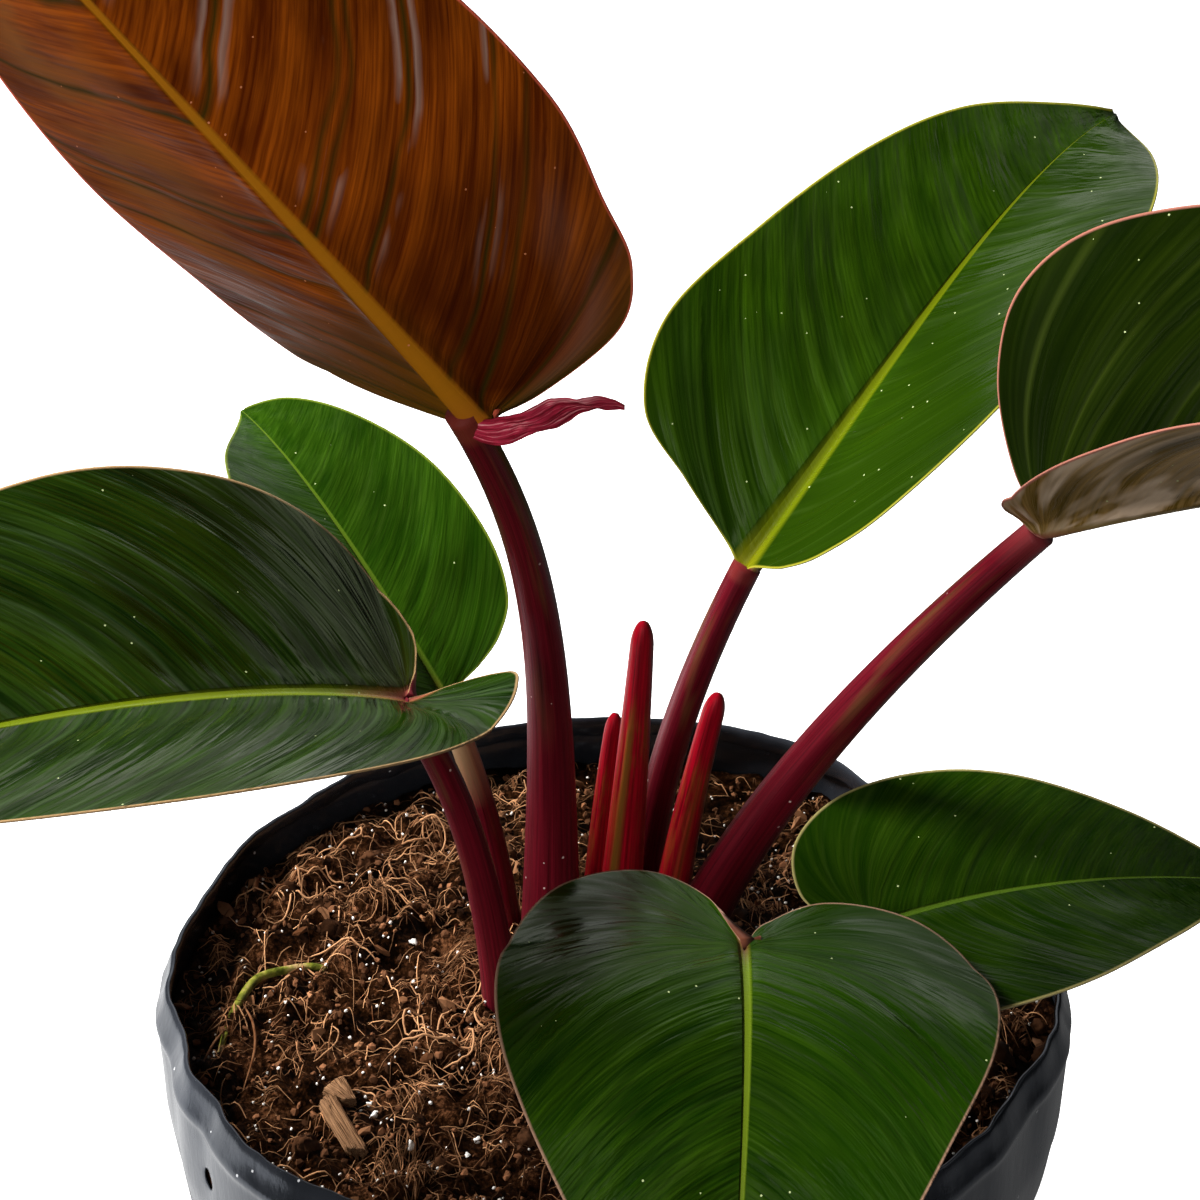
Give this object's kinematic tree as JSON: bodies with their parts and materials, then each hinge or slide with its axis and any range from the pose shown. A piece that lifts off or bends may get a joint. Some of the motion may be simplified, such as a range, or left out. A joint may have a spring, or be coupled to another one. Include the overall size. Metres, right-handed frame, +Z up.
{
  "type": "potted red-stemmed philodendron",
  "caption": "Young broad-leaved philodendron with red leaf stalks and rolled new leaves, growing in a round black film nursery bag filled with coir potting mix.",
  "frame": {"origin": "middle of the bag's flat base, on the surface it stands on", "axes": "+Z up the plant, front of the pictured view along -Y, +X to the viewer's right"},
  "size_m": [0.4523, 0.2768, 0.4462],
  "materials": {
    "film": "black polythene film, semi-gloss, faintly creased",
    "soil": "dark brown coir potting mix, rough and fibrous",
    "husk": "tan coconut husk, dry and fibrous",
    "root": "olive green living root",
    "crown": "brown stem base, matt",
    "stalk": "smooth dark crimson leaf stalk, satin",
    "new_leaf": "smooth bright red rolled leaf, satin",
    "green_leaf": "deep green leathery leaf, glossy above",
    "copper_leaf": "copper-brown underside of a leathery leaf, satin",
    "dry_sheath": "crumpled dry crimson sheath, papery"
  },
  "bodies": {
    "root": {"grow_bag": "film", "potting_mix": "soil", "stem": "crown", "petiole_front_left": "stalk", "blade_front_left": "copper_leaf", "petiole_back_right": "stalk", "blade_back_right": "green_leaf", "petiole_right": "stalk", "blade_right": "green_leaf", "petiole_left": "stalk", "blade_left": "green_leaf", "petiole_back_left": "stalk", "blade_back_left": "green_leaf", "petiole_front": "stalk", "blade_front": "green_leaf", "petiole_front_right": "stalk", "blade_front_right": "green_leaf", "new_leaf_tall": "new_leaf", "new_leaf_short": "new_leaf", "new_leaf_right": "new_leaf", "dry_sheath": "dry_sheath", "husk_chip_long": "husk", "husk_chip_broad": "husk", "surface_root": "root"}
  },
  "joints": []
}
